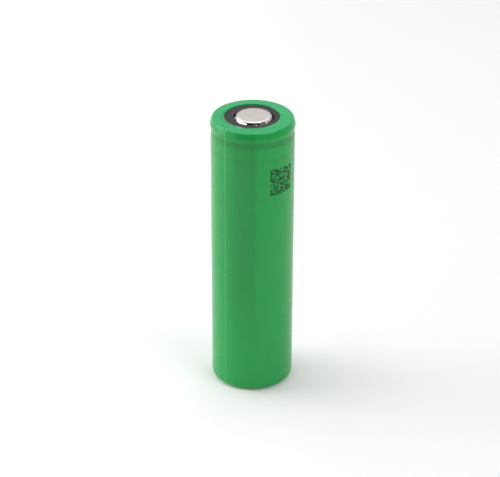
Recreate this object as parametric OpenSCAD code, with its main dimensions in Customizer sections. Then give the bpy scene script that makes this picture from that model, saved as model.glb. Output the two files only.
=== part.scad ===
// Cylindrical lithium-ion cell of the 18650 size, with a flat positive cap and a shrink sleeve.
// Lengths are in millimetres. Z runs up the axis, from the negative end to the positive cap.
// The origin is the centre of the circle that the cell stands on.

/* [Can] */
// Height over the folded sleeve, without the crown of the cap
cell_h = 65.0; // [58:0.5:70]
// Outside diameter of the steel can
can_d = 18.2; // [17.8:0.1:18.6]
// Thickness of the can's wall
can_wall = 0.22; // [0.18:0.01:0.24]
// Thickness of the can's floor
can_floor = 0.30; // [0.2:0.05:0.4]
// Depth of the groove that carries the cap stack
bead_depth = 1.1; // [0.9:0.05:1.15]
// How far the crimped rim stands out beyond the can's wall
crimp_bulge = 0.03; // [0.02:0.01:0.04]

/* [Sleeve] */
// Thickness of the shrink sleeve
sleeve_t = 0.10; // [0.08:0.01:0.11]
// Opening of the sleeve round the positive cap
sleeve_top_opening_d = 12.2; // [11:0.1:13.5]
// Steel that the sleeve leaves bare at the negative end
sleeve_bottom_opening_d = 14.6; // [13:0.1:15]
// How far the sleeve swells out over the crimp
sleeve_swell = 0.09; // [0.08:0.01:0.14]
// How far the sleeve sinks into the groove
sleeve_dip = 0.09; // [0.05:0.01:0.10]

/* [Cap stack] */
// Diameter of the cap's crown
crown_d = 8.0; // [7.4:0.1:8.2]
// How far the crown stands above the folded sleeve
crown_rise = 0.25; // [0:0.05:0.3]
// Hole of the insulator ring round the crown
ring_hole_d = 8.9; // [8.8:0.1:9.6]
// How much lower the ring's hole lies than its outer edge
ring_dish = 0.13; // [0.04:0.01:0.16]
// Number of vent windows in the crown's side
window_count = 3; // [2:1:4]
// Angle that each window takes
window_angle = 60; // [40:5:70]
// Bearing of the first window's middle, from -Y towards +X
window_bearing = 8; // [-180:2:180]

/* [Electrode roll] */
// Turns of the wound electrodes
roll_turns = 10; // [6:1:10]
// Width of the two current tabs
tab_w = 4.0; // [3:0.5:4]
// Outside diameter of the centre pin
pin_d = 3.2; // [2.6:0.1:3.4]

/* [Hidden] */
$fn = 96;

// An arc of an outline turns by at most this angle from one point to the next
arc_step = 10;
// Cut-outs run past the faces they cut by this much
over = 0.5;
// Play between pieces that are pressed or dropped together
fit_gap = 0.02;

can_r = can_d / 2;

// Sheet thicknesses of the cap stack
ring_t = 0.30;
gasket_t = 0.33;
cap_t = 0.30;
ptc_t = 0.30;
vent_t = 0.30;
plate_t = 0.40;
tab_t = 0.08;

// Heights of the cap stack, from the top down
ring_r = 8.5;
can_lip_r = 7.2;
ring_z = cell_h - sleeve_t - fit_gap - ring_t;
ring_slope = ring_dish / (ring_r - ring_hole_d / 2);
crimp_top_z = ring_z - ring_slope * (ring_r - can_lip_r) - fit_gap;
gasket_top_z = crimp_top_z - can_wall - fit_gap;
flange_top_z = gasket_top_z - gasket_t - fit_gap;
ptc_top_z = flange_top_z - cap_t;
vent_top_z = ptc_top_z - ptc_t;
gasket_bottom_z = vent_top_z - vent_t - fit_gap - gasket_t;

// Bends of the can, on the middle of its wall
floor_bend = 1.2;
groove_bend = 0.65;
shoulder_bend = 0.45;
crimp_bend = 0.72;
wall_r = can_r - can_wall / 2;
crimp_wall_r = wall_r + crimp_bulge;
bead_z = gasket_bottom_z - fit_gap - can_wall / 2 - groove_bend;
groove_centre_r = wall_r - bead_depth + groove_bend;

// Cap stack radii
ptc_hole_r = 4.5;
gasket_mouth_r = 6.9;
stack_play = 0.29;
gasket_r = crimp_wall_r - can_wall / 2 - fit_gap;
stack_r = gasket_r - gasket_t - stack_play;
plate_r = 5.55;

// Current-interrupt parts below the rim of the vent disc
vent_dish = 0.98;
nub_h = 0.40;
vent_floor_z = vent_top_z - vent_dish;
nub_z = vent_floor_z - nub_h;
plate_top_z = nub_z;

// Electrode roll: radial make-up of one turn
roll_core_r = 1.95;
separator_t = 0.04;
foil_t = 0.03;
anode_coat_t = 0.10;
cathode_coat_t = 0.11;
layer_gap = 0.01;
anode_in = separator_t + layer_gap;
anode_foil_in = anode_in + anode_coat_t;
anode_out = anode_foil_in + foil_t;
separator_2_in = anode_out + anode_coat_t + layer_gap;
cathode_in = separator_2_in + separator_t + layer_gap;
cathode_foil_in = cathode_in + cathode_coat_t;
cathode_out = cathode_foil_in + foil_t;
pitch = cathode_out + cathode_coat_t + layer_gap;

// Electrode roll: heights
roll_z = 1.20;
groove_room = 2.50;
roll_h = bead_z - groove_room - roll_z;
anode_edge = 0.50;
cathode_edge = 1.00;

// Insulator discs over and under the roll
lower_insulator_r = 8.1;
lower_insulator_z = 0.62;
lower_insulator_t = 0.23;
lower_hole_r = 1.0;
upper_insulator_r = 8.45;
roll_to_insulator = 0.10;
upper_insulator_z = roll_z + roll_h + roll_to_insulator;
upper_insulator_t = 0.25;
upper_hole_r = 1.75;
gas_hole_r = 0.5;
gas_hole_ring_r = 7.2;

// Current tabs: each lies in a gap in one turn of coating, on the bare foil
tab_tape_t = 0.025;
tab_gap_w = tab_w + 1.2;
tape_w = tab_w + 1.0;
positive_tab_turn = floor(roll_turns / 2);
negative_tab_turn = roll_turns - 1;
positive_tab_r = roll_core_r + positive_tab_turn * pitch + cathode_out;
negative_tab_r = roll_core_r + negative_tab_turn * pitch + anode_out;
tab_in_roll_t = 0.07;
insulator_to_tab = 0.65;
tab_run_z = upper_insulator_z + upper_insulator_t + insulator_to_tab;
tab_run_y = 2;
tab_fold_y = -3.9;
tab_weld_y = -1.3;
floor_z = sleeve_t + can_floor;

// Outlines are traced along the middle of a sheet. Each entry is an arc: centre r, centre z,
// radius, start angle and end angle. Straight stretches join the end of one arc to the start
// of the next, and an entry with radius 0 is a plain end of the sheet.
function arc_side(a, side) =
    let (sweep = a[4] - a[3], turn = sweep < 0 ? -1 : 1)
    let (steps = sweep == 0 ? 0 : max(2, ceil(abs(sweep) / arc_step)))
    [for (i = [0:steps])
        let (t = a[3] + (steps == 0 ? 0 : sweep * i / steps))
        [a[0] + (a[2] + turn * side) * cos(t), a[1] + (a[2] + turn * side) * sin(t)]];
function trace(path, side) = [for (a = path) each arc_side(a, side)];
function backwards(points) = [for (i = [len(points) - 1:-1:0]) points[i]];
function sheet(path, t) = concat(trace(path, t / 2), backwards(trace(path, -t / 2)));

// Rise and turning angle of an S-bend that shifts a sheet sideways by shift
function s_rise(shift, r1, r2) = sqrt(pow(r1 + r2, 2) - pow(r1 + r2 - shift, 2));
function s_angle(shift, r1, r2) = acos((r1 + r2 - shift) / (r1 + r2));

// Step from one level up to another, on a sheet that runs outwards
function step_up(r, z0, z1, bend) =
    let (turn = s_angle(z1 - z0, bend, bend), run = s_rise(z1 - z0, bend, bend))
    [[r, z0 + bend, bend, 270, 270 + turn], [r + run, z1 - bend, bend, 90 + turn, 90]];

// Ring with a rectangular section, from radius r0 to r1
module washer(r0, r1, h) {
    linear_extrude(h) difference() {
        circle(r1);
        circle(r0);
    }
}

// Half of a flat ring, on the +Y side or, with side -1, on the -Y side
module half_ring(r, t, side) {
    intersection() {
        difference() {
            circle(r + t);
            circle(r);
        }
        translate([-r - pitch, side > 0 ? 0 : -r - pitch]) square([2 * (r + pitch), r + pitch]);
    }
}

// One wound layer. Half turns about two centres, half a pitch apart, make the spiral.
module wound_layer(inset, t, z, h, first = 0, last = roll_turns) {
    translate([0, 0, z]) linear_extrude(h) {
        for (turn = [first:last - 1]) {
            half_ring(roll_core_r + inset + turn * pitch, t, 1);
            translate([pitch / 2, 0])
                half_ring(roll_core_r + inset + (turn + 0.5) * pitch, t, -1);
        }
    }
}

// Slice of a ring of radius r, of width w, on the +Y side
module ring_slice(r, t, w, z, h) {
    half_angle = asin(w / 2 / r);
    translate([0, 0, z]) rotate([0, 0, 90 - half_angle])
        rotate_extrude(angle = 2 * half_angle) translate([r, 0]) square([t, h]);
}

// Shrink sleeve: folded over both ends, dipped over the groove and swollen over the crimp
module sleeve() {
    play = 0.01;
    mid_r = can_r + play + sleeve_t / 2;
    corner_bend = floor_bend + play + sleeve_t / 2;
    corner_z = sleeve_t / 2 + corner_bend;
    dip_r = mid_r - sleeve_dip;
    dip_half_h = 1.1;
    dip_bend = (pow(dip_half_h, 2) / sleeve_dip + sleeve_dip) / 4;
    dip_rise = s_rise(sleeve_dip, dip_bend, dip_bend);
    dip_turn = s_angle(sleeve_dip, dip_bend, dip_bend);
    swell_r = mid_r + sleeve_swell;
    swell_depth = 1.7;
    swell_z = cell_h - swell_depth;
    swell_bend = 0.9;
    flare = swell_r - dip_r;
    flare_bend = (pow(swell_z - bead_z, 2) + pow(flare, 2)) / (2 * flare) - swell_bend;
    flare_turn = s_angle(flare, swell_bend, flare_bend);
    lean = 8;
    edge_bend = 0.5;
    edge_z = cell_h - sleeve_t / 2 - edge_bend;
    slope_start = [swell_r - swell_bend * (1 - cos(lean)), swell_z + swell_bend * sin(lean)];
    slope_h = edge_z + edge_bend * sin(lean) - slope_start[1];
    edge_r = slope_start[0] - slope_h * tan(lean) - edge_bend * cos(lean);
    path = [
        [sleeve_bottom_opening_d / 2, sleeve_t / 2, 0, 270, 270],
        [mid_r - corner_bend, corner_z, corner_bend, 270, 360],
        [mid_r - dip_bend, bead_z - dip_rise, dip_bend, 0, dip_turn],
        [dip_r + dip_bend, bead_z, dip_bend, 180 + dip_turn, 180],
        [dip_r + flare_bend, bead_z, flare_bend, 180, 180 - flare_turn],
        [swell_r - swell_bend, swell_z, swell_bend, -flare_turn, lean],
        [edge_r, edge_z, edge_bend, lean, 90],
        [sleeve_top_opening_d / 2, cell_h - sleeve_t / 2, 0, 90, 90]
    ];
    color("#3a9a58") rotate_extrude() polygon(sheet(path, sleeve_t));
}

// Dark fibre washer between the crimped rim and the sleeve, pressed into a shallow dish
module top_insulator_ring() {
    hole_r = ring_hole_d / 2;
    hole_z = ring_z - ring_dish;
    color("#4a4b4c") rotate_extrude() polygon([
        [hole_r, hole_z], [ring_r, ring_z], [ring_r, ring_z + ring_t], [hole_r, hole_z + ring_t]
    ]);
}

// Deep-drawn can with the beaded groove, the crimped rim and a shallow weld mark below
module can() {
    lower_rise = s_rise(bead_depth, groove_bend, shoulder_bend);
    lower_turn = s_angle(bead_depth, groove_bend, shoulder_bend);
    upper_rise = s_rise(bead_depth + crimp_bulge, groove_bend, shoulder_bend);
    upper_turn = s_angle(bead_depth + crimp_bulge, groove_bend, shoulder_bend);
    lip_z = crimp_top_z - can_wall / 2;
    skirt_h = 1.0;
    seam_z = sleeve_t + floor_bend + skirt_h;
    wall_path = [
        [wall_r, seam_z, 0, 0, 0],
        [wall_r - shoulder_bend, bead_z - lower_rise, shoulder_bend, 0, lower_turn],
        [groove_centre_r, bead_z, groove_bend, 180 + lower_turn, 180 - upper_turn],
        [crimp_wall_r - shoulder_bend, bead_z + upper_rise, shoulder_bend, -upper_turn, 0],
        [crimp_wall_r - crimp_bend, lip_z - crimp_bend, crimp_bend, 0, 90],
        [can_lip_r, lip_z, 0, 90, 90]
    ];
    inner_bend = floor_bend - can_wall / 2;
    corner_z = floor_z + inner_bend;
    floor_outline = concat(
        [[0, floor_z], [0, sleeve_t]],
        arc_side([can_r - floor_bend, sleeve_t + floor_bend, floor_bend, 270, 360], 0),
        [[can_r, seam_z], [can_r - can_wall, seam_z]],
        arc_side([can_r - can_wall - inner_bend, corner_z, inner_bend, 360, 270], 0)
    );
    weld_mark_r = 1.1;
    weld_mark_depth = 0.05;
    color("#c9c7c3") difference() {
        union() {
            rotate_extrude() polygon(sheet(wall_path, can_wall));
            rotate_extrude() polygon(floor_outline);
        }
        translate([0, 0, sleeve_t - over]) cylinder(h = over + weld_mark_depth, r = weld_mark_r);
    }
}

// Gasket: a U of plastic between the cap stack and the can
module gasket() {
    low_bend = shoulder_bend - can_wall / 2 - fit_gap - gasket_t / 2;
    high_bend = crimp_bend - can_wall / 2 - fit_gap - gasket_t / 2;
    mid_r = gasket_r - gasket_t / 2;
    upper_mouth_r = gasket_mouth_r + 0.2;
    path = [
        [gasket_mouth_r, gasket_bottom_z + gasket_t / 2, 0, 270, 270],
        [mid_r - low_bend, gasket_bottom_z + gasket_t / 2 + low_bend, low_bend, 270, 360],
        [mid_r - high_bend, gasket_top_z - gasket_t / 2 - high_bend, high_bend, 0, 90],
        [upper_mouth_r, gasket_top_z - gasket_t / 2, 0, 90, 90]
    ];
    color("#e9e7df") rotate_extrude() polygon(sheet(path, gasket_t));
}

// Positive cap: pressed crown with vent windows in its side, on a flat flange
module positive_cap() {
    lean = 8;
    crown_bend = 0.42;
    foot_bend = 0.25;
    crown_z = cell_h + crown_rise - cap_t / 2;
    flange_z = flange_top_z - cap_t / 2;
    crown_centre = [crown_d / 2 - crown_bend - cap_t / 2, crown_z - crown_bend];
    foot_z = flange_z + foot_bend;
    bends = crown_bend + foot_bend;
    side_run = (crown_centre[1] + bends * sin(lean) - foot_z) / cos(lean);
    foot_r = crown_centre[0] + bends * cos(lean) + side_run * sin(lean);
    path = [
        [0, crown_z, 0, 90, 90],
        [crown_centre[0], crown_centre[1], crown_bend, 90, lean],
        [foot_r, foot_z, foot_bend, 180 + lean, 270],
        [stack_r, flange_z, 0, 270, 270]
    ];
    sill = 0.06;
    window_z = flange_top_z + sill;
    window_w = 1.5;
    window = [
        crown_centre, crown_centre + [window_w, window_w],
        [crown_centre[0] + window_w, window_z], [crown_centre[0], window_z]
    ];
    color("#d8d6d0") difference() {
        rotate_extrude() polygon(cap_outline(path));
        for (i = [0:window_count - 1])
            rotate([0, 0, window_bearing - 90 - window_angle / 2 + i * 360 / window_count])
                rotate_extrude(angle = window_angle) polygon(window);
    }
}

// The cap's sheet starts on the axis, with its upper side facing out
function cap_outline(path) =
    let (crown = path[0], above = trace([for (i = [1:len(path) - 1]) path[i]], -cap_t / 2))
    let (below = trace([for (i = [1:len(path) - 1]) path[i]], cap_t / 2))
    concat(
        [[0, crown[1] + cap_t / 2]], above, backwards(below), [[0, crown[1] - cap_t / 2]]
    );

// Resistor washer that chokes the current when it is hot
module ptc_washer() {
    color("#6f6a60") translate([0, 0, vent_top_z]) washer(ptc_hole_r, stack_r, ptc_t);
}

// Vent disc: clamped at its rim, dished, scored in a ring and welded at its middle
module vent_disc() {
    mid_drop = vent_t / 2;
    nub_r = 0.9;
    nub_bend = 0.25;
    dish_r = 5.0;
    dish_bend = 0.40;
    path = concat(
        [[0, nub_z + mid_drop, 0, 270, 270]],
        step_up(nub_r, nub_z + mid_drop, vent_floor_z + mid_drop, nub_bend),
        step_up(dish_r, vent_floor_z + mid_drop, vent_top_z - mid_drop, dish_bend),
        [[stack_r, vent_top_z - mid_drop, 0, 270, 270]]
    );
    score_r = 4.2;
    score_depth = 0.14;
    score_w = 0.25;
    color("#cfd2d4") difference() {
        rotate_extrude() polygon(sheet(path, vent_t));
        translate([0, 0, vent_floor_z + vent_t - score_depth]) rotate_extrude()
            polygon([[score_r, 0], [score_r + score_w, score_depth * 2],
                     [score_r - score_w, score_depth * 2]]);
    }
}

// Holder ring that keeps the weld plate apart from the vent disc
module cid_insulator() {
    skirt_w = 0.95;
    seat_play = 0.05;
    foot_t = 0.24;
    foot_lip = 0.35;
    seat_r = plate_r + seat_play;
    foot_z = plate_top_z - plate_t - foot_t;
    color("#e2dcc8") difference() {
        translate([0, 0, foot_z])
            cylinder(h = vent_floor_z - fit_gap - foot_z, r = plate_r + skirt_w);
        translate([0, 0, foot_z - over])
            cylinder(h = plate_top_z - foot_z + over * 4, r = plate_r - skirt_w);
        translate([0, 0, plate_top_z - plate_t - fit_gap])
            cylinder(h = plate_t + 2 * fit_gap, r = seat_r);
        translate([0, 0, foot_z - over])
            cylinder(h = over * 2, r = plate_r - foot_lip);
    }
}

// Weld plate: drilled for gas, thin in its middle where the nub is welded
module cid_weld_plate() {
    hole_r = 0.6;
    hole_ring_r = 3.7;
    weld_web_t = 0.12;
    weld_web_r = 0.8;
    color("#c4c7ca") translate([0, 0, plate_top_z - plate_t]) difference() {
        cylinder(h = plate_t, r = plate_r);
        for (i = [0:3])
            rotate([0, 0, 45 + 90 * i]) translate([hole_ring_r, 0, -over])
                cylinder(h = plate_t + 2 * over, r = hole_r);
        translate([0, 0, -over]) cylinder(h = over + plate_t - weld_web_t, r = weld_web_r);
    }
}

// Insulator over the roll, with gas holes and a slot for the positive tab
module upper_insulator() {
    gas_holes = 8;
    slot_in = 0.65;
    slot_w = 1.0;
    color("#efe9d8") translate([0, 0, upper_insulator_z]) difference() {
        cylinder(h = upper_insulator_t, r = upper_insulator_r);
        translate([0, 0, -over]) cylinder(h = 2 * over, r = upper_hole_r);
        translate([-tab_gap_w / 2, positive_tab_r - slot_in, -over])
            cube([tab_gap_w, slot_w, 2 * over]);
        for (i = [0:gas_holes - 1])
            rotate([0, 0, (i + 0.5) * 360 / gas_holes]) translate([gas_hole_ring_r, 0, -over])
                cylinder(h = 2 * over, r = gas_hole_r);
    }
}

// Insulator under the roll, notched where the negative tab passes
module lower_insulator() {
    notch_in = 0.75;
    notch_y = negative_tab_r - notch_in;
    color("#efe9d8") translate([0, 0, lower_insulator_z]) difference() {
        cylinder(h = lower_insulator_t, r = lower_insulator_r);
        translate([0, 0, -over]) cylinder(h = 2 * over, r = lower_hole_r);
        translate([-tab_gap_w / 2, notch_y, -over])
            cube([tab_gap_w, lower_insulator_r, 2 * over]);
    }
}

// Slit steel tube that keeps the roll's middle open
module centre_pin() {
    pin_r = pin_d / 2;
    pin_wall = 0.2;
    pin_z = lower_insulator_z + lower_insulator_t + fit_gap;
    pin_below_roll = 1.0;
    pin_h = roll_z + roll_h - pin_below_roll - pin_z;
    nose = 0.6;
    taper = 0.2;
    outline = [
        [pin_r - taper, 0], [pin_r, nose], [pin_r, pin_h - nose], [pin_r - taper, pin_h],
        [pin_r - taper - pin_wall, pin_h], [pin_r - pin_wall, pin_h - nose],
        [pin_r - pin_wall, nose], [pin_r - taper - pin_wall, 0]
    ];
    slit_w = 0.4;
    color("#b9bcbf") translate([0, 0, pin_z]) difference() {
        rotate_extrude() polygon(outline);
        translate([-slit_w / 2, -pin_r - over, -over]) cube([slit_w, pin_r + over, pin_h + 2 * over]);
    }
}

// The inner separator makes one turn more, so that it also covers the roll
module inner_separator() {
    color("#f4f4f0") wound_layer(0, separator_t, roll_z, roll_h, 0, roll_turns + 1);
}

module outer_separator() {
    color("#f4f4f0") wound_layer(separator_2_in, separator_t, roll_z, roll_h);
}

module anode_foil() {
    color("#b8734a") wound_layer(anode_foil_in, foil_t, roll_z + anode_edge, roll_h - 2 * anode_edge);
}

// Graphite on both sides of the copper foil, with a bare strip for the tab
module anode_coating() {
    z = roll_z + anode_edge;
    h = roll_h - 2 * anode_edge;
    color("#2b2c2e") {
        wound_layer(anode_in, anode_coat_t, z, h);
        difference() {
            wound_layer(anode_out, anode_coat_t, z, h);
            ring_slice(negative_tab_r - layer_gap / 2, anode_coat_t + layer_gap, tab_gap_w,
                       z - over, h + 2 * over);
        }
    }
}

module cathode_foil() {
    color("#d3d6d8") wound_layer(cathode_foil_in, foil_t, roll_z + cathode_edge,
                                 roll_h - 2 * cathode_edge);
}

// Metal-oxide paste on both sides of the aluminium foil, with a bare strip for the tab
module cathode_coating() {
    z = roll_z + cathode_edge;
    h = roll_h - 2 * cathode_edge;
    color("#3a3a40") {
        wound_layer(cathode_in, cathode_coat_t, z, h);
        difference() {
            wound_layer(cathode_out, cathode_coat_t, z, h);
            ring_slice(positive_tab_r - layer_gap / 2, cathode_coat_t + layer_gap, tab_gap_w,
                       z - over, h + 2 * over);
        }
    }
}

// Aluminium tab: up out of the roll, over the insulator and folded back under the weld plate
module positive_tab() {
    leg_z = roll_z + cathode_edge;
    leg_top = tab_run_z + tab_t;
    weld_z = plate_top_z - plate_t - tab_t / 2;
    fold_r = (weld_z - tab_run_z - tab_t / 2) / 2;
    fold_path = [
        [tab_run_y, tab_run_z + tab_t / 2, 0, 90, 90],
        [tab_fold_y, tab_run_z + tab_t / 2 + fold_r, fold_r, 270, 90],
        [tab_weld_y, weld_z, 0, 270, 270]
    ];
    color("#cdd0d2") {
        ring_slice(positive_tab_r, tab_in_roll_t, tab_w, leg_z, leg_top - leg_z);
        translate([0, 0, tab_run_z]) linear_extrude(tab_t) intersection() {
            circle(positive_tab_r + tab_in_roll_t);
            translate([-tab_w / 2, tab_run_y]) square([tab_w, positive_tab_r]);
        }
        translate([-tab_w / 2, 0, 0]) rotate([90, 0, 90]) linear_extrude(tab_w)
            polygon(fold_outline(fold_path));
    }
}

// The folded strip, traced along its middle: the run, the turn back and the welded end
function fold_outline(path) =
    let (start = path[0], bend = path[1], end = path[2], half = tab_t / 2)
    concat(
        [[start[0], start[1] - half]], arc_side(bend, -half), [[end[0], end[1] + half]],
        [[end[0], end[1] - half]], backwards(arc_side(bend, half)), [[start[0], start[1] + half]]
    );

// Nickel tab: down out of the roll, past the insulator and welded to the can's floor
module negative_tab() {
    leg_top = roll_z + roll_h - anode_edge;
    weld_end = 1.6;
    color("#bdbdb8") {
        ring_slice(negative_tab_r, tab_in_roll_t, tab_w, floor_z, leg_top - floor_z);
        translate([0, 0, floor_z]) linear_extrude(tab_t) intersection() {
            circle(negative_tab_r + tab_in_roll_t);
            translate([-tab_w / 2, -weld_end]) square([tab_w, negative_tab_r + weld_end + over]);
        }
    }
}

module positive_tab_tape() {
    color("#d9b84a") ring_slice(positive_tab_r + tab_in_roll_t, tab_tape_t, tape_w,
                                roll_z + cathode_edge, roll_h - 2 * cathode_edge);
}

module negative_tab_tape() {
    color("#d9b84a") ring_slice(negative_tab_r + tab_in_roll_t, tab_tape_t, tape_w,
                                roll_z + anode_edge, roll_h - 2 * anode_edge);
}

// Tape round the last turn, which keeps the roll closed
module closing_tape() {
    tape_t = 0.04;
    tape_edge = 1.5;
    color("#5fa8c9") wound_layer(separator_t + layer_gap, tape_t, roll_z + tape_edge,
                                 roll_h - 2 * tape_edge, roll_turns, roll_turns + 1);
}

sleeve();
top_insulator_ring();
can();
gasket();
positive_cap();
ptc_washer();
vent_disc();
cid_insulator();
cid_weld_plate();
upper_insulator();
lower_insulator();
centre_pin();
inner_separator();
outer_separator();
anode_foil();
anode_coating();
cathode_foil();
cathode_coating();
positive_tab();
positive_tab_tape();
negative_tab();
negative_tab_tape();
closing_tape();
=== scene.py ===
import math
import random

import bmesh
import bpy
from mathutils import Matrix, Vector, noise


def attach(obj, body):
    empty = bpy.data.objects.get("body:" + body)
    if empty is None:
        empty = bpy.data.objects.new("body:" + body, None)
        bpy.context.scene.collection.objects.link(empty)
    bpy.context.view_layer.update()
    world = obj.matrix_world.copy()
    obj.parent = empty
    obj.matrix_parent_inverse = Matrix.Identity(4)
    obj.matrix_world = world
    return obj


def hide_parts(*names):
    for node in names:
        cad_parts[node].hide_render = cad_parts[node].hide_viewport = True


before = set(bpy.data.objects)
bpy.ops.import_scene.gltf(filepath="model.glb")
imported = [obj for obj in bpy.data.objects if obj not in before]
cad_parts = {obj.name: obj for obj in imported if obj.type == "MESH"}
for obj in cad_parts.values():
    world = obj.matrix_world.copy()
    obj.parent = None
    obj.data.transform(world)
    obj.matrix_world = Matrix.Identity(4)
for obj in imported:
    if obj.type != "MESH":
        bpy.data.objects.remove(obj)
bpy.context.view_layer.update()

MM = 0.001

# ---------------------------------------------------------------- sizes, in millimetres
CELL_H = 65.0
CAN_R = 9.1
SLEEVE_T = 0.10
SLEEVE_GAP = 0.01
SLEEVE_MID_R = CAN_R + SLEEVE_GAP + SLEEVE_T / 2
BEAD_Z = 61.93
OPENING_R = 6.08
LOWER_OPENING_R = 7.3
OPENING_SHIFT = (-0.14, 0.38)
STACK_SHIFT = (0.22, 0.25)
CREASES = (-40.2, 139.8)
FAINT_RING_Z = 58.3

CROWN_R = 4.05
CROWN_TOP = 65.25
CAP_T = 0.30
CAP_BEND = 0.42
FOOT_BEND = 0.25
CAP_LEAN = 25
FLANGE_Z = 63.778
FLANGE_R = 8.2
WINDOWS = (8, 128, 248)
WINDOW_ANGLE = 60

RING_Z = 64.58
RING_T = 0.30
RING_DISH = 0.13
RING_HOLE_R = 4.45
RING_R = 8.45

# ---------------------------------------------------------------- camera, fitted to the photo
# The lens is in millimetres, the angles are in degrees and the rest is in metres.
CAMERA_LENS = 135.412
CAMERA_ELEVATION = 28.8687
CAMERA_ROLL = 0.1264
CAMERA_DISTANCE = 0.4220279
CAMERA_AIM_Z = 0.0348063
CAMERA_X = -0.0005414


# ---------------------------------------------------------------- mesh helpers
def make(name, verts, faces, smooth=True):
    """A mesh object from points in millimetres, riding on the one body."""
    mesh = bpy.data.meshes.new(name)
    mesh.from_pydata([(x * MM, y * MM, z * MM) for x, y, z in verts], [], faces)
    bm = bmesh.new()
    bm.from_mesh(mesh)
    bmesh.ops.recalc_face_normals(bm, faces=bm.faces)
    bm.to_mesh(mesh)
    bm.free()
    for face in mesh.polygons:
        face.use_smooth = smooth
    obj = bpy.data.objects.new(name, mesh)
    bpy.context.scene.collection.objects.link(obj)
    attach(obj, "root")
    return obj


def arc(cr, cz, radius, start, end, step):
    """Points on an arc with the outward normal of its circle, as (r, z, nr, nz)."""
    count = max(2, math.ceil(abs(end - start) / step))
    turn = 1 if end > start else -1
    points = []
    for i in range(count + 1):
        a = math.radians(start + (end - start) * i / count)
        c, s = math.cos(a), math.sin(a)
        points.append((cr + radius * c, cz + radius * s, turn * c, turn * s))
    return points


def dense(points, longest):
    """The same outline with long stretches split into equal parts."""
    out = [points[0]]
    for a, b in zip(points, points[1:]):
        parts = max(1, math.ceil(math.hypot(b[0] - a[0], b[1] - a[1]) / longest))
        for i in range(1, parts + 1):
            t = i / parts
            out.append(tuple(a[k] + (b[k] - a[k]) * t for k in range(4)))
    return out


def at(bearing, r, z):
    """A point at a bearing from -Y towards +X."""
    a = math.radians(bearing)
    return (r * math.sin(a), -r * math.cos(a), z)


def bearings(step, extra=()):
    """Bearings all round, closer together near each bearing in extra."""
    out = {round(-180 + i * step, 4) for i in range(round(360 / step))}
    for centre in extra:
        for offset in (0, 0.2, 0.4, 0.65, 0.9, 1.25, 1.7, 2.3):
            for side in (1, -1):
                out.add(round((centre + side * offset + 180) % 360 - 180, 4))
    return sorted(out)


def smoothstep(a, b, x):
    t = min(1.0, max(0.0, (x - a) / (b - a)))
    return t * t * (3 - 2 * t)


def turn_between(a, b):
    """The smaller angle between two bearings."""
    return abs((a - b + 180) % 360 - 180)


def closed_sheet(name, path, t, angles, place, holes=()):
    """Revolves the middle line of a sheet into a closed skin, with windows cut through it.

    path lists (r, z, nr, nz), the normal being the way to the sheet's outer side.
    place(bearing, index, r, z) gives the final point. holes lists (first row, last row,
    first bearing index, last bearing index)."""
    rows, cols = len(path), len(angles)
    on_axis = path[0][0] < 1e-6
    verts, index = [], {}
    for side in (1, -1):
        for i, (r, z, nr, nz) in enumerate(path):
            rr, zz = r + side * nr * t / 2, z + side * nz * t / 2
            if i == 0 and on_axis:
                index[side, 0] = [len(verts)] * cols
                verts.append(place(0, i, 0.0, zz))
                continue
            index[side, i] = list(range(len(verts), len(verts) + cols))
            verts += [place(b, i, rr, zz) for b in angles]
    cut = {(i, j % cols) for i0, i1, j0, j1 in holes for i in range(i0, i1) for j in range(j0, j1)}
    faces = []
    for side in (1, -1):
        for i in range(rows - 1):
            a, b = index[side, i], index[side, i + 1]
            for j in range(cols):
                if (i, j) in cut:
                    continue
                k = (j + 1) % cols
                corners = [a[j], a[k], b[k], b[j]]
                faces.append(list(dict.fromkeys(corners)))
    for i in ((rows - 1,) if on_axis else (0, rows - 1)):
        a, b = index[1, i], index[-1, i]
        faces += [[a[j], a[(j + 1) % cols], b[(j + 1) % cols], b[j]] for j in range(cols)]
    for i0, i1, j0, j1 in holes:
        for j in range(j0, j1):
            for i in (i0, i1):
                a, b = index[1, i], index[-1, i]
                faces.append([a[j % cols], a[(j + 1) % cols], b[(j + 1) % cols], b[j % cols]])
        for i in range(i0, i1):
            for j in (j0 % cols, j1 % cols):
                faces.append([index[1, i][j], index[1, i + 1][j], index[-1, i + 1][j], index[-1, i][j]])
    return make(name, verts, faces)


def bevelled(obj, width):
    """Rounds the edges that turn by more than 40 degrees."""
    mod = obj.modifiers.new("edges", "BEVEL")
    mod.width = width * MM
    mod.segments = 2
    mod.limit_method = "ANGLE"
    mod.angle_limit = math.radians(40)
    mod.harden_normals = True
    return obj


# ---------------------------------------------------------------- node helpers
def set_stops(color_ramp, stops):
    """Gives a colour ramp its stops, each a position and a grey (one value) or a colour."""
    while len(color_ramp.elements) < len(stops):
        color_ramp.elements.new(0.5)
    for element, (position, colour) in zip(color_ramp.elements, stops):
        element.position = position
        element.color = (*colour, 1) if len(colour) == 3 else (colour[0],) * 3 + (1,)


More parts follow.
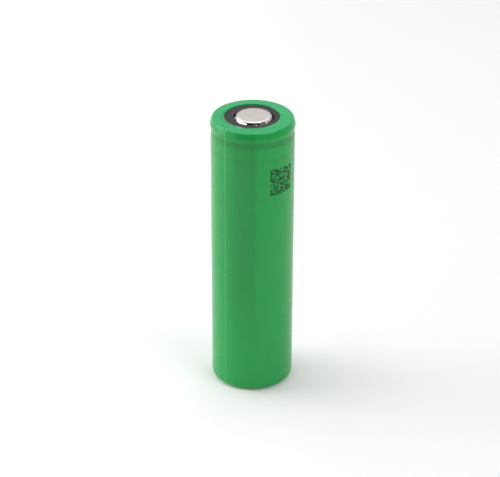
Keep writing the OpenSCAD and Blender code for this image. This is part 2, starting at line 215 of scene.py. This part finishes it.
class Nodes:
    """A material with a Principled shader and short ways to add procedural textures."""

    def __init__(self, name, **sockets):
        self.mat = bpy.data.materials.new(name)
        self.mat.use_nodes = True
        self.tree = self.mat.node_tree
        self.shader = next(n for n in self.tree.nodes if n.type == "BSDF_PRINCIPLED")
        for key, value in sockets.items():
            self.shader.inputs[key.replace("_", " ")].default_value = value
        self.place = self.tree.nodes.new("ShaderNodeTexCoord").outputs["Object"]

    def link(self, a, b):
        self.tree.links.new(a, b)

    def stretched(self, scale, rotation=(0, 0, 0)):
        node = self.tree.nodes.new("ShaderNodeMapping")
        node.inputs["Scale"].default_value = scale
        node.inputs["Rotation"].default_value = [math.radians(a) for a in rotation]
        self.link(self.place, node.inputs["Vector"])
        return node.outputs["Vector"]

    def noise(self, scale=(1000, 1000, 1000), size=1.0, detail=3.0, rough=0.5):
        node = self.tree.nodes.new("ShaderNodeTexNoise")
        self.link(self.stretched(scale), node.inputs["Vector"])
        node.inputs["Scale"].default_value = 1.0 / size
        node.inputs["Detail"].default_value = detail
        node.inputs["Roughness"].default_value = rough
        return node.outputs["Fac"]

    def round_angle(self):
        """0 to 1 round the axis, for bearings from -180 to 180."""
        node = self.tree.nodes.new("ShaderNodeTexGradient")
        node.gradient_type = "RADIAL"
        self.link(self.stretched((1, 1, 1), (0, 0, 270 + 180)), node.inputs["Vector"])
        return node.outputs["Fac"]

    def ramp(self, value, stops):
        node = self.tree.nodes.new("ShaderNodeValToRGB")
        set_stops(node.color_ramp, stops)
        self.link(value, node.inputs["Fac"])
        return node.outputs["Color"]

    def mapped(self, value, low, high, from_low=0.3, from_high=0.7):
        """Maps a range, by default the usual spread of a noise, to low and high."""
        node = self.tree.nodes.new("ShaderNodeMapRange")
        node.inputs["From Min"].default_value = from_low
        node.inputs["From Max"].default_value = from_high
        node.inputs["To Min"].default_value = low
        node.inputs["To Max"].default_value = high
        self.link(value, node.inputs["Value"])
        return node.outputs["Result"]

    def height(self, low, high):
        """0 at the height low, 1 at the height high, in metres."""
        split = self.tree.nodes.new("ShaderNodeSeparateXYZ")
        self.link(self.place, split.inputs["Vector"])
        return self.mapped(split.outputs["Z"], 0.0, 1.0, low, high)

    def blend(self, a, b, share=None, kind="MIX"):
        """Combines b with a by share, or in full without one. The plain kind goes from a to b."""
        node = self.tree.nodes.new("ShaderNodeMix")
        node.data_type, node.blend_type = "RGBA", kind
        node.inputs["Factor"].default_value = 1.0
        if share is not None:
            self.link(share, node.inputs["Factor"])
        self.link(a, node.inputs["A"])
        self.link(b, node.inputs["B"])
        return node.outputs["Result"]

    def times(self, a, b, share=None):
        return self.blend(a, b, share, "MULTIPLY")

    def bump(self, height, depth):
        """Adds relief of depth millimetres to what the normal already has."""
        node = self.tree.nodes.new("ShaderNodeBump")
        node.inputs["Distance"].default_value = depth * MM
        self.link(height, node.inputs["Height"])
        before = self.shader.inputs["Normal"]
        if before.is_linked:
            self.link(before.links[0].from_socket, node.inputs["Normal"])
        self.link(node.outputs["Normal"], before)

    def colour(self, socket):
        self.link(socket, self.shader.inputs["Base Color"])

    def roughness(self, socket):
        self.link(socket, self.shader.inputs["Roughness"])


def mottled(name, dark, light, size=1.0, rough=(0.4, 0.6), depth=0.005, scale=(1, 1, 1), **sockets):
    """A material that varies in colour, roughness and height with one stretched noise."""
    m = Nodes(name, **sockets)
    grain = m.noise(tuple(1000 * s for s in scale), size)
    m.colour(m.ramp(grain, [(0.3, dark), (0.7, light)]))
    m.roughness(m.mapped(grain, *rough))
    m.bump(grain, depth)
    return m.mat


def sleeve_material():
    """Glossy green PVC film: a little cloudy, with painted shade and light set round the axis and painted
    shade up the cell, and a painted highlight along each crease.
    """
    m = Nodes("green_pvc_film", IOR=1.37)
    cloud = m.noise(size=6.0, detail=2.0)
    base = m.ramp(cloud, [(0.25, (0.014, 0.330, 0.068)), (0.75, (0.018, 0.348, 0.075))])
    # Painted shade and light round the axis: the film is darkened down to 0.82 left of its front, up to a
    # sharp edge, and lifted to 1.03 right of the front.
    painted_shade_round_axis = m.ramp(m.round_angle(), [
        (0.00, (0.97,)), (0.36, (0.91,)), (0.386, (0.89,)), (0.391, (0.92,)), (0.425, (0.84,)),
        (0.45, (0.82,)), (0.507, (0.84,)), (0.518, (1.0,)), (0.61, (1.03,)), (0.90, (1.0,)), (1.00, (0.97,))])
    # Painted shade up the cell: a slight darkening at the faint ring, and down to 0.76 over the groove, where
    # the film also looks darker over the hollow behind it.
    painted_shade_bands = m.ramp(m.height(0.0560, 0.0650), [
        (0.00, (1.0,)), (0.14, (1.0,)), (0.19, (0.95,)), (0.28, (0.95,)), (0.33, (1.0,)), (0.57, (1.0,)),
        (0.62, (0.80,)), (0.72, (0.76,)), (0.77, (1.0,))])
    # The painted shade fades out from 30 mm down to 8 mm above the foot.
    painted_shade_above_foot = m.ramp(m.height(0.008, 0.030), [(0.0, (0.0,)), (1.0, (1.0,))])
    film = m.times(base, m.times(painted_shade_round_axis, painted_shade_bands), painted_shade_above_foot)

    folded = m.ramp(cloud, [(0.25, (0.016, 0.370, 0.118)), (0.75, (0.020, 0.390, 0.126))])
    film = m.blend(film, folded, m.height(0.06475, 0.06494))

    # Painted highlight: a thin lighter line along each crease.
    painted_crease_highlight = m.ramp(cloud, [(0.25, (0.105, 0.430, 0.155)), (0.75, (0.120, 0.450, 0.170))])
    core, edge = 0.0009, 0.0025
    painted_crease_highlight_mask = [(0.0, (0.0,))]
    for bearing in CREASES:
        middle = (bearing + 180) / 360
        painted_crease_highlight_mask += [(middle - edge, (0.0,)), (middle - core, (1.0,)),
                  (middle + core, (1.0,)), (middle + edge, (0.0,))]
    m.colour(m.blend(film, painted_crease_highlight, m.ramp(m.round_angle(), painted_crease_highlight_mask)))

    m.roughness(m.mapped(m.noise(size=0.35, detail=2.0), 0.22, 0.28))
    m.bump(m.noise((1000, 1000, 250), size=2.2, detail=1.0), 0.004)
    return m.mat


def ink_material():
    return mottled("brown_black_ink", (0.009, 0.008, 0.003), (0.018, 0.016, 0.006), 0.12,
                   (0.6, 0.75), 0.0006, Specular_IOR_Level=0.2)


def fibre_material():
    """Pressed dark fibre board, flecked and a little hairy."""
    m = Nodes("dark_fibre_board", Specular_IOR_Level=0.2)
    fleck = m.noise((1400, 1000, 1000), size=0.16, detail=4.0, rough=0.65)
    cloud = m.noise(size=0.9, detail=2.0)
    base = m.ramp(fleck, [
        (0.30, (0.032, 0.033, 0.034)), (0.62, (0.062, 0.062, 0.062)), (0.74, (0.115, 0.115, 0.113))])
    warm = m.ramp(cloud, [(0.35, (0.90, 0.98, 0.97)), (0.65, (1.0, 0.96, 0.94))])
    m.colour(m.times(base, warm))
    m.roughness(m.mapped(fleck, 0.55, 0.8))
    m.bump(fleck, 0.012)
    return m.mat


def nickel_material(name, tint, rough, grain_depth):
    """Nickel-plated steel with a few soft marks, and a satin grain if grain_depth isn't 0."""
    m = Nodes(name, Metallic=1.0)
    cloud = m.noise(size=1.6, detail=3.0)
    light = tuple(min(1.0, c * 1.06) for c in tint)
    m.colour(m.ramp(cloud, [(0.3, tint), (0.7, light)]))
    m.roughness(m.mapped(cloud, *rough))
    if grain_depth:
        m.bump(m.noise((1000, 1000, 400), size=0.10, detail=3.0), grain_depth)
    return m.mat


# ---------------------------------------------------------------- shrink sleeve
def sleeve_path():
    """Middle line of the film from the lower opening to the upper one."""
    corner = 1.26
    dip, dip_half = 0.09, 1.1
    dip_bend = (dip_half ** 2 / dip + dip) / 4
    dip_rise = math.sqrt((2 * dip_bend) ** 2 - (2 * dip_bend - dip) ** 2)
    dip_turn = math.degrees(math.acos((2 * dip_bend - dip) / (2 * dip_bend)))
    dip_r = SLEEVE_MID_R - dip
    swell_r, swell_z, swell_bend = SLEEVE_MID_R + 0.10, CELL_H - 1.45, 0.9
    flare = swell_r - dip_r
    flare_bend = ((swell_z - BEAD_Z) ** 2 + flare ** 2) / (2 * flare) - swell_bend
    flare_turn = math.degrees(math.acos((flare_bend + swell_bend - flare) / (flare_bend + swell_bend)))
    lean, edge_bend = 19, 0.34
    edge_z = CELL_H - SLEEVE_T / 2 - edge_bend
    top_r = swell_r - swell_bend * (1 - math.cos(math.radians(lean)))
    top_z = swell_z + swell_bend * math.sin(math.radians(lean))
    slope_h = edge_z + edge_bend * math.sin(math.radians(lean)) - top_z
    edge_r = top_r - slope_h * math.tan(math.radians(lean)) - edge_bend * math.cos(math.radians(lean))
    path = [(LOWER_OPENING_R, SLEEVE_T / 2, 0, -1)]
    path += arc(SLEEVE_MID_R - corner, SLEEVE_T / 2 + corner, corner, 270, 360, 6)
    path += arc(SLEEVE_MID_R - dip_bend, BEAD_Z - dip_rise, dip_bend, 0, dip_turn, 1.5)
    path += arc(dip_r + dip_bend, BEAD_Z, dip_bend, 180 + dip_turn, 180, 1.5)[1:]
    path += arc(dip_r + flare_bend, BEAD_Z, flare_bend, 180, 180 - flare_turn, 1.5)[1:]
    path += arc(swell_r - swell_bend, swell_z, swell_bend, -flare_turn, lean, 3)[1:]
    path += arc(edge_r, edge_z, edge_bend, lean, 90, 5)
    path += [(OPENING_R, CELL_H - SLEEVE_T / 2, 0, 1)]
    longest_row = 0.9
    return dense(path, longest_row)


def skin_offset(bearing, z):
    """How far the film stands off its ideal outline: soft waves, the creases and a faint ring."""
    a = math.radians(bearing)
    soft = 0.012 * noise.noise(Vector((2.2 * math.sin(a), 2.2 * math.cos(a), z * 0.11)))
    ring = -0.012 * math.exp(-((z - FAINT_RING_Z) / 0.35) ** 2)
    crease = 0.0
    for centre in CREASES:
        off = math.radians(turn_between(bearing, centre)) * SLEEVE_MID_R
        crease += 0.045 * math.exp(-(off / 0.14) ** 2) - 0.012 * math.exp(-(off / 0.6) ** 2)
    return soft + ring + crease


def place_sleeve(bearing, index, r, z):
    """A point of the film: uneven on the side, and pulled off centre and dished on the top fold."""
    fold_h, still_r = 0.6, 7.9
    dish, dish_r, dish_run = 0.075, 8.7, 2.6
    r += smoothstep(7.4, 8.9, r) * skin_offset(bearing, z)
    x, y, z = at(bearing, r, z)
    if z > CELL_H - fold_h:
        a = math.radians(bearing)
        inner = 1 - smoothstep(OPENING_R, still_r, r)
        wobble = 0.05 * noise.noise(Vector((1.7 * math.sin(a), 1.7 * math.cos(a), 3.1)))
        wobble += 0.02 * noise.noise(Vector((6 * math.sin(a), 6 * math.cos(a), 9.4)))
        x += inner * (OPENING_SHIFT[0] + wobble * math.sin(a))
        y += inner * (OPENING_SHIFT[1] - wobble * math.cos(a))
        z += inner * 0.006 * noise.noise(Vector((3 * math.sin(a), 3 * math.cos(a), 5.5)))
        z -= dish * max(0.0, dish_r - r) / dish_run
    return (x, y, z)


sleeve = closed_sheet("shrink_sleeve", sleeve_path(), SLEEVE_T, bearings(1.0, CREASES), place_sleeve)
sleeve.data.materials.append(sleeve_material())
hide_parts("sleeve")


# ---------------------------------------------------------------- printed square of ink dots
def ink_square():
    """A square of seeded random dots. Chance alone sets each one, so it spells nothing."""
    toss = random.Random(7)
    count = 20
    first, last = 24.6, 63.2
    low, high = 49.9, 56.1
    wide, tall = (last - first) / count, (high - low) / count
    odds, edge_odds = 0.6, 0.66
    lift, thick, share = 0.002, 0.005, 0.84
    verts, faces = [], []
    for row in range(count):
        for col in range(count):
            edge = row in (0, count - 1) or col in (0, count - 1)
            if toss.random() > (edge_odds if edge else odds):
                continue
            cb, cz = first + (col + 0.5) * wide, low + (row + 0.5) * tall
            cb += wide * 0.05 * (toss.random() - 0.5)
            start = len(verts)
            for out in (lift, lift + thick):
                for sb, sz in ((-1, -1), (1, -1), (1, 1), (-1, 1)):
                    b, z = cb + sb * wide * share / 2, cz + sz * tall * share / 2
                    r = SLEEVE_MID_R + SLEEVE_T / 2 + skin_offset(b, z) + out
                    verts.append(at(b, r, z))
            for quad in ((0, 1, 2, 3), (4, 5, 6, 7), (0, 1, 5, 4), (1, 2, 6, 5), (2, 3, 7, 6), (3, 0, 4, 7)):
                faces.append([start + k for k in quad])
    return make("printed_dots", verts, faces, smooth=False)


ink = ink_square()
ink.data.materials.append(ink_material())


# ---------------------------------------------------------------- positive cap
def cap_path():
    """Middle line of the cap from its centre out to the rim of its flange."""
    lean = math.radians(CAP_LEAN)
    crown_r = CROWN_R - CAP_BEND - CAP_T / 2
    crown_z = CROWN_TOP - CAP_T / 2
    foot_z = FLANGE_Z + FOOT_BEND
    bends = CAP_BEND + FOOT_BEND
    run = (crown_z - CAP_BEND + bends * math.sin(lean) - foot_z) / math.cos(lean)
    foot_r = crown_r + bends * math.cos(lean) + run * math.sin(lean)
    path = [(0, crown_z, 0, 1)]
    path += [(crown_r * k / 6, crown_z, 0, 1) for k in range(1, 6)]
    bend = arc(crown_r, crown_z - CAP_BEND, CAP_BEND, 90, CAP_LEAN, 7)
    bend += arc(foot_r, foot_z, FOOT_BEND, 180 + CAP_LEAN, 270, 9)
    path += [(r, z, abs(a), abs(b)) for r, z, a, b in bend]
    path += [(foot_r + (FLANGE_R - foot_r) * k / 3, FLANGE_Z, 0, 1) for k in (1, 2, 3)]
    return path


def cap_piece():
    """The cap with its windows, which run from the crown's bend down to the flange."""
    path = cap_path()
    top_row = next(i for i, p in enumerate(path) if 0 < p[3] < math.sin(math.radians(46)))
    low_row = next(i for i, p in enumerate(path) if p[1] < FLANGE_Z + 0.10)
    step = 2.0
    angles = bearings(step)
    holes = []
    for middle in WINDOWS:
        start = (middle - WINDOW_ANGLE / 2 + 180) % 360 - 180
        j0 = min(range(len(angles)), key=lambda j: turn_between(angles[j], start))
        holes.append((top_row, low_row, j0, j0 + round(WINDOW_ANGLE / step)))

    def place(bearing, index, r, z):
        x, y, z = at(bearing, r, z)
        return (x + STACK_SHIFT[0], y + STACK_SHIFT[1], z)

    return closed_sheet("vented_cap", path, CAP_T, angles, place, holes)


cap = bevelled(cap_piece(), 0.035)
cap.data.materials.append(nickel_material("satin_nickel_cap", (0.76, 0.71, 0.665), (0.24, 0.28), 0))
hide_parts("positive_cap")


# ---------------------------------------------------------------- fibre ring
def ring_piece():
    """The fibre ring, dished towards its hole, with a slightly frayed hole edge."""
    rows = 12
    path = []
    for k in range(rows + 1):
        out = k / rows
        r = RING_HOLE_R + (RING_R - RING_HOLE_R) * out
        path.append((r, RING_Z + RING_T / 2 - RING_DISH * (1 - out), 0, 1))

    def place(bearing, index, r, z):
        a = math.radians(bearing)
        rough = 0.012 * noise.noise(Vector((9 * math.sin(a), 9 * math.cos(a), 7.7)))
        x, y, z = at(bearing, r + (rough if index == 0 else 0), z)
        z += 0.008 * noise.noise(Vector((x * 0.6, y * 0.6, 1.3)))
        share = 1 - smoothstep(6.5, 8.4, r)
        return (x + STACK_SHIFT[0] * share, y + STACK_SHIFT[1] * share, z)

    return closed_sheet("fibre_ring", path, RING_T, bearings(2.0), place)


ring = bevelled(ring_piece(), 0.04)
ring.data.materials.append(fibre_material())
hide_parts("top_insulator_ring")


# ---------------------------------------------------------------- materials of the CAD pieces
def dress(node, material):
    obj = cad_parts[node]
    obj.data.materials.clear()
    obj.data.materials.append(material)


dress("can", nickel_material("satin_nickel_can", (0.68, 0.665, 0.63), (0.26, 0.42), 0.0012))
dress("gasket", mottled("white_gasket_plastic", (0.72, 0.71, 0.66), (0.80, 0.79, 0.74), 0.8))
dress("ptc_washer", mottled("ptc_compound", (0.08, 0.075, 0.07), (0.14, 0.13, 0.12), 0.3))
dress("vent_disc", mottled("rolled_aluminium", (0.72, 0.73, 0.74), (0.80, 0.81, 0.82), 0.2,
                           (0.25, 0.4), 0.002, (0.1, 1, 1), Metallic=1.0))
dress("cid_insulator", mottled("holder_plastic", (0.66, 0.62, 0.50), (0.74, 0.70, 0.57), 0.9))
dress("cid_weld_plate", mottled("stamped_aluminium", (0.68, 0.69, 0.70), (0.78, 0.79, 0.80), 0.2,
                                (0.3, 0.45), 0.002, (1, 0.1, 1), Metallic=1.0))
sheet_mat = mottled("insulator_sheet", (0.74, 0.70, 0.58), (0.84, 0.80, 0.68), 0.5, (0.6, 0.8), 0.01)
dress("upper_insulator", sheet_mat)
dress("lower_insulator", sheet_mat)
dress("centre_pin", mottled("drawn_steel", (0.50, 0.51, 0.52), (0.60, 0.61, 0.62), 0.15,
                            (0.3, 0.45), 0.002, (1, 1, 0.08), Metallic=1.0))
film_mat = mottled("separator_film", (0.82, 0.82, 0.80), (0.90, 0.90, 0.88), 0.4, (0.5, 0.7), 0.002)
dress("inner_separator", film_mat)
dress("outer_separator", film_mat)
dress("anode_foil", mottled("rolled_copper", (0.66, 0.31, 0.17), (0.76, 0.38, 0.22), 0.2,
                            (0.25, 0.4), 0.001, (1, 1, 0.1), Metallic=1.0))
dress("anode_coating", mottled("pressed_graphite", (0.022, 0.023, 0.026), (0.042, 0.043, 0.046), 0.1,
                               (0.6, 0.8), 0.006))
dress("cathode_foil", mottled("rolled_foil", (0.74, 0.75, 0.76), (0.84, 0.85, 0.86), 0.2,
                              (0.2, 0.35), 0.001, (1, 1, 0.1), Metallic=1.0))
dress("cathode_coating", mottled("oxide_paste", (0.036, 0.036, 0.042), (0.062, 0.062, 0.070), 0.1,
                                 (0.65, 0.85), 0.006))
dress("positive_tab", mottled("tab_aluminium", (0.70, 0.71, 0.72), (0.80, 0.81, 0.82), 0.2,
                              (0.25, 0.4), 0.001, (1, 1, 0.1), Metallic=1.0))
dress("negative_tab", mottled("tab_nickel", (0.60, 0.58, 0.54), (0.70, 0.68, 0.64), 0.2,
                              (0.25, 0.4), 0.001, (1, 1, 0.1), Metallic=1.0))
tape_mat = mottled("amber_tape", (0.62, 0.40, 0.07), (0.74, 0.50, 0.11), 0.5, (0.3, 0.45), 0.001)
dress("positive_tab_tape", tape_mat)
dress("negative_tab_tape", tape_mat)
dress("closing_tape", mottled("blue_tape", (0.09, 0.31, 0.47), (0.14, 0.39, 0.55), 0.8, (0.3, 0.45), 0.001))


# ---------------------------------------------------------------- floor, light, camera
def floor_piece():
    """A light floor sheet, lifted on the left by painted light and a little darker on the right with painted
    shade.
    """
    half = 1.6
    corners = [(-half, -half, 0), (half, -half, 0), (half, half, 0), (-half, half, 0)]
    mesh = bpy.data.meshes.new("floor")
    mesh.from_pydata(corners, [], [(0, 1, 2, 3)])
    obj = bpy.data.objects.new("floor", mesh)
    bpy.context.scene.collection.objects.link(obj)
    m = Nodes("pale_floor", Roughness=0.9, Specular_IOR_Level=0.2)
    split = m.tree.nodes.new("ShaderNodeSeparateXYZ")
    m.link(m.place, split.inputs["Vector"])
    # Painted light and shade: the floor's colour is lighter on the left, where the left softboxes light it,
    # and darker towards the right, where the cell's shadow falls.
    painted_light_left_to_right = m.mapped(split.outputs["X"], 0.0, 1.0, -0.05, 0.05)
    floor_and_painted_light = m.ramp(painted_light_left_to_right, [(0.3, (0.945, 0.932, 0.942)), (0.7, (0.890, 0.882, 0.888))])
    m.colour(m.times(floor_and_painted_light, m.ramp(m.noise((1, 1, 1), 0.4), [(0.3, (0.99,)), (0.7, (1.0,))])))
    mesh.materials.append(m.mat)


def area(name, place, target, size, watts):
    """A white light panel, hidden from the camera."""
    data = bpy.data.lights.new(name, "AREA")
    data.shape = "RECTANGLE"
    data.size, data.size_y = size
    data.energy = watts
    obj = bpy.data.objects.new(name, data)
    obj.location = place
    obj.rotation_mode = "QUATERNION"
    obj.rotation_quaternion = (Vector(target) - Vector(place)).to_track_quat("-Z", "Y")
    obj.visible_camera = False
    bpy.context.scene.collection.objects.link(obj)


def studio_world():
    """A dim room with a bright band high up all round, and another at the horizon behind the set."""
    world = bpy.data.worlds.new("studio")
    world.use_nodes = True
    bpy.context.scene.world = world
    tree = world.node_tree
    back = next(n for n in tree.nodes if n.type == "BACKGROUND")
    back.inputs["Strength"].default_value = 1.13
    split = tree.nodes.new("ShaderNodeSeparateXYZ")
    tree.links.new(tree.nodes.new("ShaderNodeTexCoord").outputs["Generated"], split.inputs["Vector"])
    side = tree.nodes.new("ShaderNodeMapRange")
    side.inputs["From Min"].default_value, side.inputs["From Max"].default_value = -0.15, 0.25
    tree.links.new(split.outputs["Y"], side.inputs["Value"])
    blend = tree.nodes.new("ShaderNodeMix")
    blend.data_type = "RGBA"
    tree.links.new(side.outputs["Result"], blend.inputs["Factor"])
    front_stops = [(0.0, (0.04,)), (0.29, (0.04,)), (0.37, (0.88,)), (0.56, (0.88,)), (0.66, (0.05,))]
    back_stops = [(0.0, (0.85,)), (0.10, (0.85,)), (0.18, (0.15,)), (0.36, (0.15,)),
                  (0.45, (1.0,)), (0.65, (1.0,)), (0.80, (0.05,))]
    for key, stops in (("A", front_stops), ("B", back_stops)):
        sky = tree.nodes.new("ShaderNodeValToRGB")
        set_stops(sky.color_ramp, stops)
        tree.links.new(split.outputs["Z"], sky.inputs["Fac"])
        tree.links.new(sky.outputs["Color"], blend.inputs[key])
    tree.links.new(blend.outputs["Result"], back.inputs["Color"])


floor_piece()
studio_world()
middle = (0, 0, 0.03)
area("top_softbox", (0, 0.2, 0.9), (0, 0, 0), (0.8, 0.8), 3.75)
area("left_softbox", (-0.45, 0.05, 0.2), middle, (0.3, 0.3), 1.28)
area("left_front_softbox", (-0.5, -0.32, 0.2), middle, (0.25, 0.25), 0.28)
area("left_back_softbox", (-0.6, 0.35, 0.5), middle, (0.5, 0.5), 1.1)
area("right_front_softbox", (0.45, -0.3, 0.45), middle, (0.4, 0.4), 1.35)

camera_data = bpy.data.cameras.new("camera")
camera_data.sensor_width = 36
camera_data.lens = CAMERA_LENS
camera_data.clip_start, camera_data.clip_end = 0.05, 20
camera = bpy.data.objects.new("camera", camera_data)
bpy.context.scene.collection.objects.link(camera)
up = math.radians(CAMERA_ELEVATION)
roll = Matrix.Rotation(math.radians(CAMERA_ROLL), 4, "Z")
camera.rotation_mode = "QUATERNION"
camera.rotation_quaternion = (Matrix.Rotation(math.pi / 2 - up, 4, "X") @ roll).to_quaternion()
camera.location = (CAMERA_X, -CAMERA_DISTANCE * math.cos(up), CAMERA_AIM_Z + CAMERA_DISTANCE * math.sin(up))
bpy.context.scene.camera = camera
bpy.context.scene.view_settings.view_transform = "Standard"
